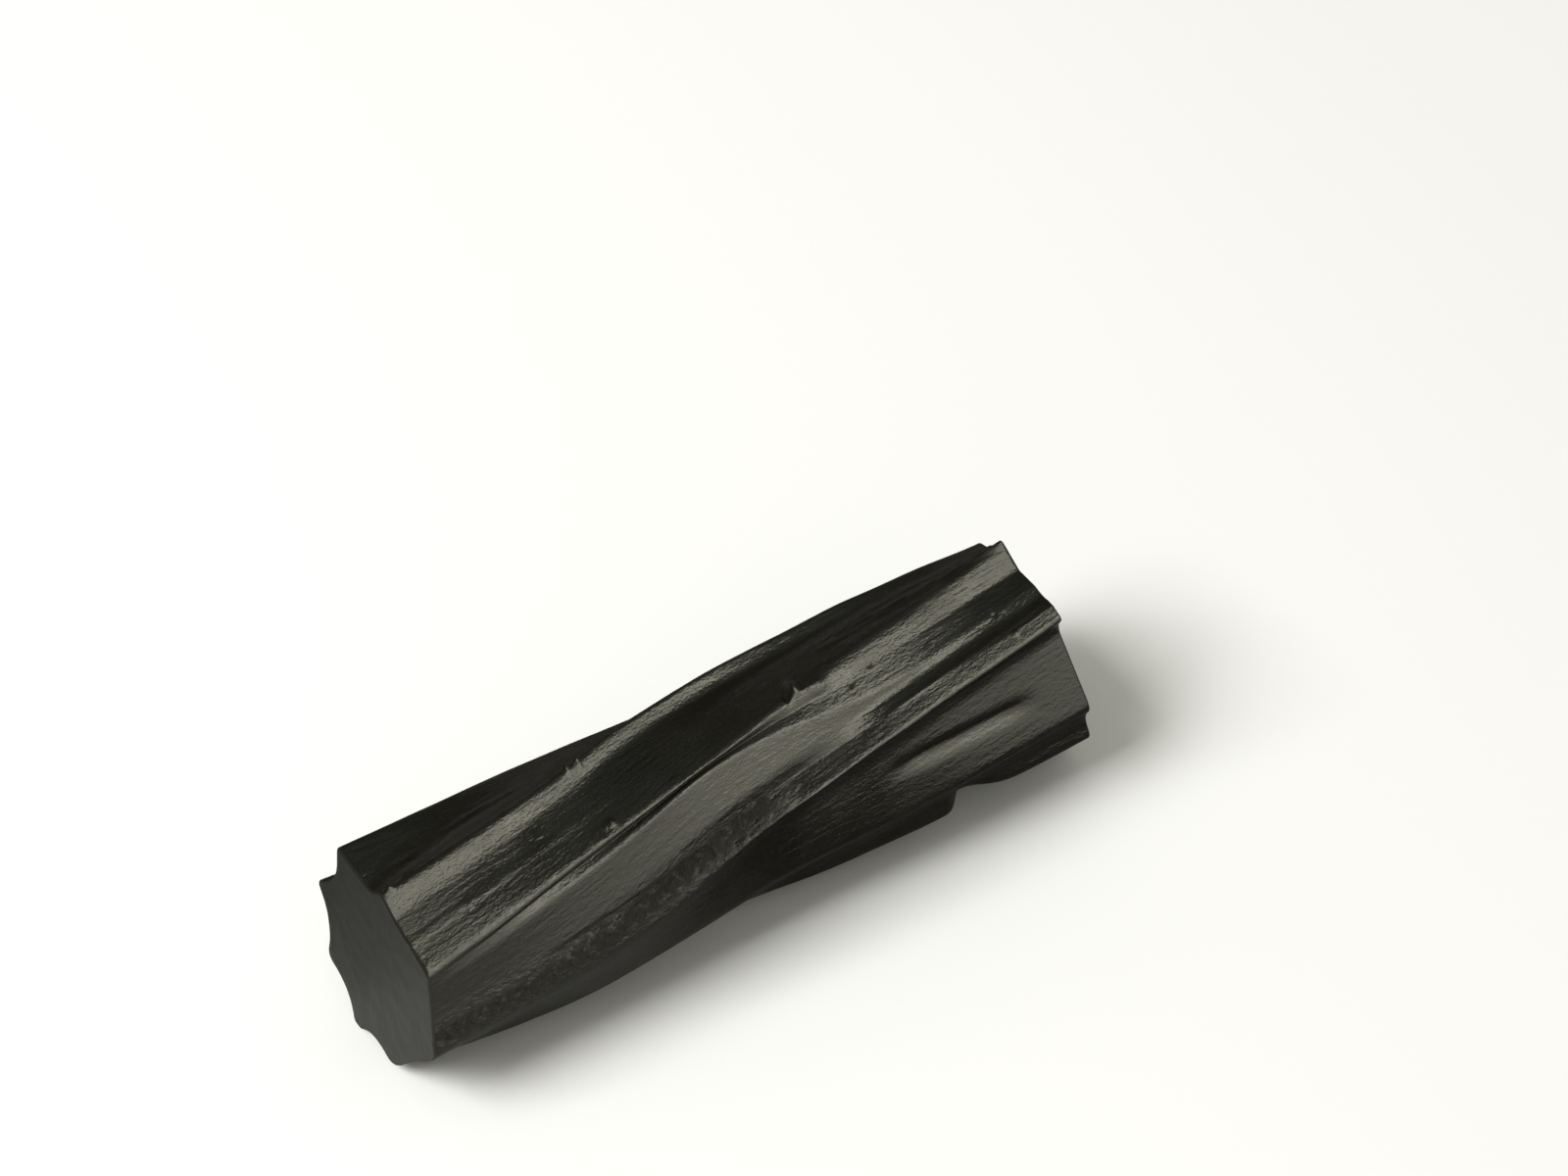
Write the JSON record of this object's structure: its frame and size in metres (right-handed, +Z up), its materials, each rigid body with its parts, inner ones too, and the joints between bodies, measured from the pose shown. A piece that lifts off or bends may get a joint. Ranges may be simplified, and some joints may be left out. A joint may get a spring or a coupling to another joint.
{
  "type": "black licorice piece",
  "caption": "Short cut of thick soft black licorice rope: ridged and fluted all round, slowly twisted, with a flat slightly slanted cut at both ends.",
  "frame": {"origin": "middle of the piece's box, on the surface it lies on", "axes": "+X along the rope from the cut end that faces the viewer to the far one, +Z up from the surface, +Y away from the viewer"},
  "size_m": [0.0564, 0.0162, 0.0161],
  "materials": {
    "licorice": "near-black with a warm brown tint, satin gloss on the extruded skin, dull on the cut ends"
  },
  "bodies": {
    "root": {"licorice_piece": "licorice"}
  },
  "joints": []
}
